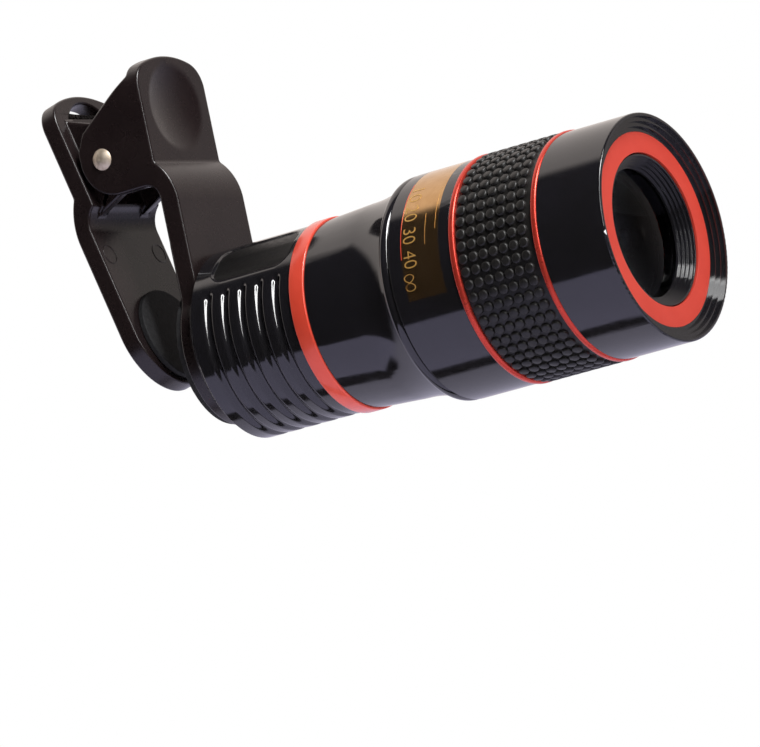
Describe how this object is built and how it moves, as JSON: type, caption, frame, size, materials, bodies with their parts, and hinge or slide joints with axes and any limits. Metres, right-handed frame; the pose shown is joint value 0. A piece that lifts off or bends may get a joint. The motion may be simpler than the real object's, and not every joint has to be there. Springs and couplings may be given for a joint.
{
  "type": "clip-on phone telephoto lens",
  "caption": "Clip-on telephoto lens for a phone: a sprung two-jaw clip with rubber pads, carrying a black focusing barrel with red trim rings, pebbled rubber grip and distance scale.",
  "frame": {"origin": "on the lens axis, in the plane of the phone face that the front pad touches", "axes": "+Y from the objective toward the phone, along the lens axis; +X across the jaws, along the hinge pin; +Z from the lens axis toward the thumb plates"},
  "size_m": [0.0324, 0.0909, 0.0585],
  "materials": {
    "jaw_black": "satin",
    "barrel_black": "gloss",
    "trim_red": "anodised",
    "scale_gold": "satin",
    "grip_rubber": "pebbled",
    "pad_rubber": "matte",
    "inner_black": "matte",
    "lens_glass": "coated",
    "pin_steel": "plain",
    "spring_steel": "plain",
    "seal_felt": "greased"
  },
  "bodies": {
    "clip_and_rear_barrel": {"front_jaw": "jaw_black", "hinge_pin": "pin_steel", "torsion_spring": "spring_steel", "front_pad": "pad_rubber", "mount_ring": "inner_black", "rear_housing": "barrel_black", "rear_trim_ring": "trim_red", "mid_barrel": "barrel_black", "inner_tube": "inner_black", "glare_stop": "inner_black", "eyepiece_cell": "inner_black", "eyepiece_rear_lens": "lens_glass", "eyepiece_spacer": "inner_black", "eyepiece_front_lens": "lens_glass", "eyepiece_retainer": "inner_black", "stop_screw": "spring_steel"},
    "rear_clamp": {"rear_jaw": "jaw_black", "rear_pad": "pad_rubber"},
    "seal": {"seal_ring": "seal_felt"},
    "front_group": {"focus_ring": "barrel_black", "scale_window": "scale_gold", "grip_trim_ring": "trim_red", "grip_sleeve": "grip_rubber", "front_trim_ring": "trim_red", "front_barrel": "barrel_black", "front_bezel": "trim_red", "objective_cell": "inner_black", "objective_crown": "lens_glass", "objective_flint": "lens_glass", "objective_retainer": "inner_black"}
  },
  "joints": [
    {"name": "clip_hinge", "type": "hinge", "parent": "clip_and_rear_barrel", "child": "rear_clamp", "pos_m": [0, 0.0071, 0.0294], "axis": [1, 0, 0], "range_deg": [-8.5, 28], "stiffness_Nm_per_rad": 0.12, "springref_deg": -51.57, "deforming": ["torsion_spring"]},
    {"name": "focus_travel", "type": "slide", "parent": "clip_and_rear_barrel", "child": "seal", "axis": [0, -1, 0], "range_m": [0, 0.002]},
    {"name": "focus_turn", "type": "hinge", "parent": "seal", "child": "front_group", "pos_m": [0, -0.045, 0], "axis": [0, -1, 0], "range_deg": [0, 100]}
  ],
  "couplings": [
    {"joint": "focus_turn", "follows": "focus_travel", "rad_per_m": 872.66}
  ]
}
